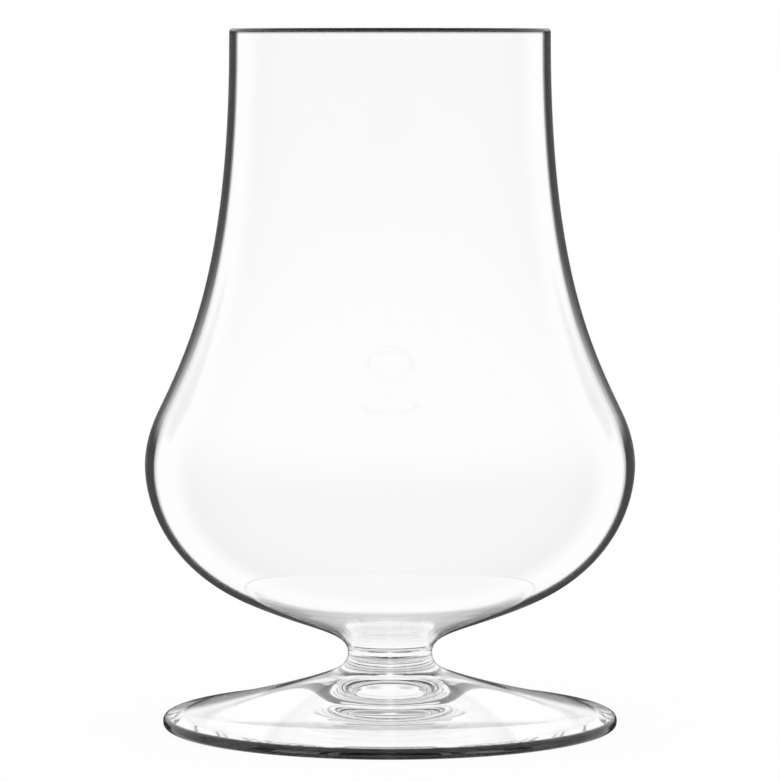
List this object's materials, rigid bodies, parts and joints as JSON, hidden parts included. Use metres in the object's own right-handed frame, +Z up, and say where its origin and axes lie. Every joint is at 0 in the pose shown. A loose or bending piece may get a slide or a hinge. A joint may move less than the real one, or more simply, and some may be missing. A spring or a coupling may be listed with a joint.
{
  "type": "whisky nosing glass",
  "caption": "Clear glass for nosing whisky, with a round belly drawn in to a tall narrow rim, on a short stem and a wide round foot.",
  "frame": {"origin": "centre of the standing ring, on the plane that the glass stands on", "axes": "+Z up along the axis that every piece is turned about; X and Y lie in the table, and the picture looks along +Y"},
  "size_m": [0.0822, 0.0822, 0.117],
  "materials": {
    "clear_glass": "fire-polished, clear and colourless"
  },
  "bodies": {
    "root": {"bowl": "clear_glass", "stem": "clear_glass", "foot": "clear_glass"}
  },
  "joints": []
}
